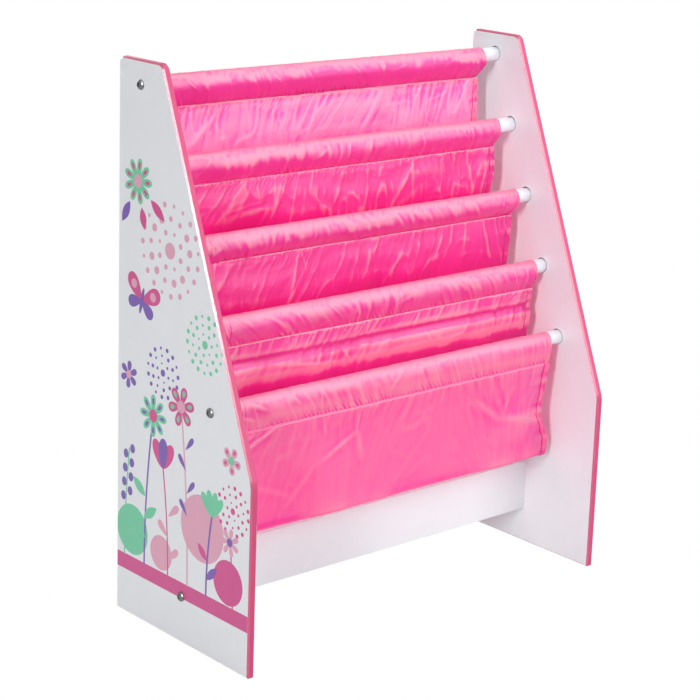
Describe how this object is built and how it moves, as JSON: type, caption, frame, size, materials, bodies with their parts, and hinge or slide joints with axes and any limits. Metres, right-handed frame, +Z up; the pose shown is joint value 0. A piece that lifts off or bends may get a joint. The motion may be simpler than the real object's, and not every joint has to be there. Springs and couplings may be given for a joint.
{
  "type": "sling bookshelf",
  "caption": "Small free-standing children's bookshelf: slanted side panels, round rods between them and cloth slings that hang from the rods as pockets.",
  "frame": {"origin": "on the floor, at the middle of the width and of the depth", "axes": "+Z up, +X to the right seen from the front, -Y to the front, where the pockets open towards the child"},
  "size_m": [0.516, 0.23, 0.6],
  "materials": {
    "painted_board": "satin white paint on board, edges lacquered pink",
    "white_board": "satin white paint on board",
    "coated_steel": "white powder coat, semi-gloss",
    "plated_steel": "bright zinc or nickel plate",
    "beech": "raw beech",
    "pink_nylon": "thin woven nylon with a satin sheen"
  },
  "bodies": {
    "root": {"left_side_panel": "painted_board", "left_rod_insert_1": "plated_steel", "left_rod_bolt_1": "plated_steel", "left_rod_insert_5": "plated_steel", "left_rod_bolt_5": "plated_steel", "left_rail_bolt": "plated_steel", "left_barrel_nut": "plated_steel", "left_rail_dowel": "beech", "right_side_panel": "painted_board", "right_rod_insert_1": "plated_steel", "right_rod_bolt_1": "plated_steel", "right_rod_insert_5": "plated_steel", "right_rod_bolt_5": "plated_steel", "right_rail_bolt": "plated_steel", "right_barrel_nut": "plated_steel", "right_rail_dowel": "beech", "bottom_rail": "white_board", "rod_1": "coated_steel", "rod_sleeve_1": "pink_nylon", "rod_sleeve_2": "pink_nylon", "rod_sleeve_3": "pink_nylon", "rod_sleeve_4": "pink_nylon", "rod_5": "coated_steel", "rod_sleeve_5": "pink_nylon", "pocket_sling_1": "pink_nylon", "pocket_sling_2": "pink_nylon", "pocket_sling_3": "pink_nylon", "pocket_sling_4": "pink_nylon"},
    "second_rod": {"rod_2": "coated_steel"},
    "third_rod": {"rod_3": "coated_steel"},
    "fourth_rod": {"rod_4": "coated_steel"}
  },
  "joints": [
    {"name": "rod_2_turn", "type": "hinge", "parent": "root", "child": "second_rod", "pos_m": [0, 0.04543, 0.49687], "axis": [1, 0, 0], "continuous": true},
    {"name": "rod_3_turn", "type": "hinge", "parent": "root", "child": "third_rod", "pos_m": [0, 0.01457, 0.41874], "axis": [1, 0, 0], "continuous": true},
    {"name": "rod_4_turn", "type": "hinge", "parent": "root", "child": "fourth_rod", "pos_m": [0, -0.01628, 0.34062], "axis": [1, 0, 0], "continuous": true}
  ]
}
